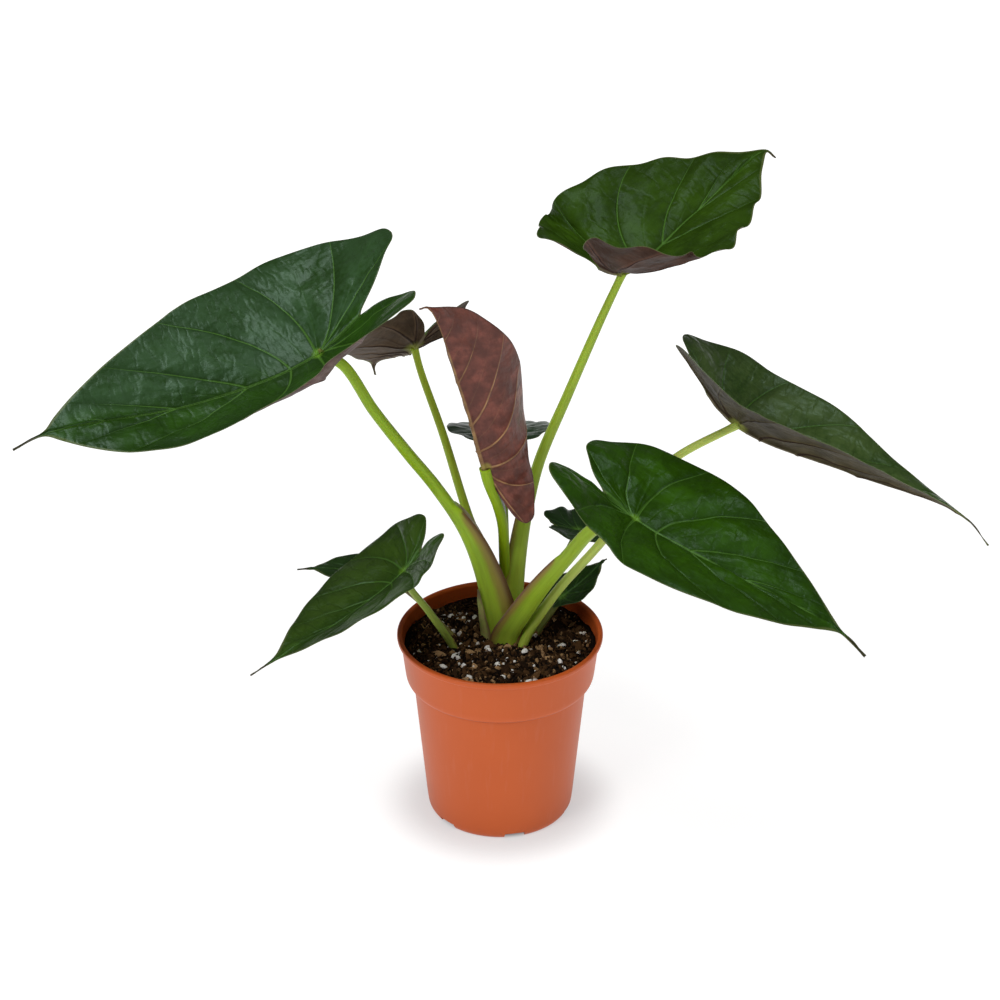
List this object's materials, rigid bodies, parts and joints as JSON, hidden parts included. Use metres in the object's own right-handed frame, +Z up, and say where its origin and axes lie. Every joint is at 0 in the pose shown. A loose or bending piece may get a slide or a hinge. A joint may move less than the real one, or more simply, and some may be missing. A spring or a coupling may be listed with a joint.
{
  "type": "potted plant",
  "caption": "Alocasia with glossy arrow-shaped leaves on tall green stalks, rooted in potting mix in a tapered terracotta-coloured plastic nursery pot with a collar rim and drain notches.",
  "frame": {"origin": "middle of the pot's flat base, on the plane that the pot stands on", "axes": "+Z up along the pot's axis; +X to the right of the plant as shown, towards the right-hand leaves; -Y towards the viewer"},
  "size_m": [0.7641, 0.4401, 0.5307],
  "materials": {
    "pot_plastic": "satin",
    "mix": "rough, crumbly",
    "corm": "rough",
    "leaf": "glossy",
    "furled_leaf": "satin",
    "stalk": "satin",
    "dry_sheath": "matte"
  },
  "bodies": {
    "root": {"pot": "pot_plastic", "corm": "corm", "potting_mix": "mix", "old_sheath": "dry_sheath", "leaf_left": "leaf", "leaf_right": "leaf", "leaf_front_right": "leaf", "leaf_top_right": "leaf", "leaf_front_left": "leaf", "leaf_furled": "furled_leaf", "leaf_back_left": "leaf", "leaf_back": "leaf", "leaf_back_right": "leaf", "leaf_low_right": "leaf", "leaf_low_left": "leaf", "stalk_left": "stalk", "stalk_right": "stalk", "stalk_front_right": "stalk", "stalk_top_right": "stalk", "stalk_front_left": "stalk", "stalk_furled": "stalk", "stalk_back_left": "stalk", "stalk_back": "stalk", "stalk_back_right": "stalk", "stalk_low_right": "stalk", "stalk_low_left": "stalk"}
  },
  "joints": []
}
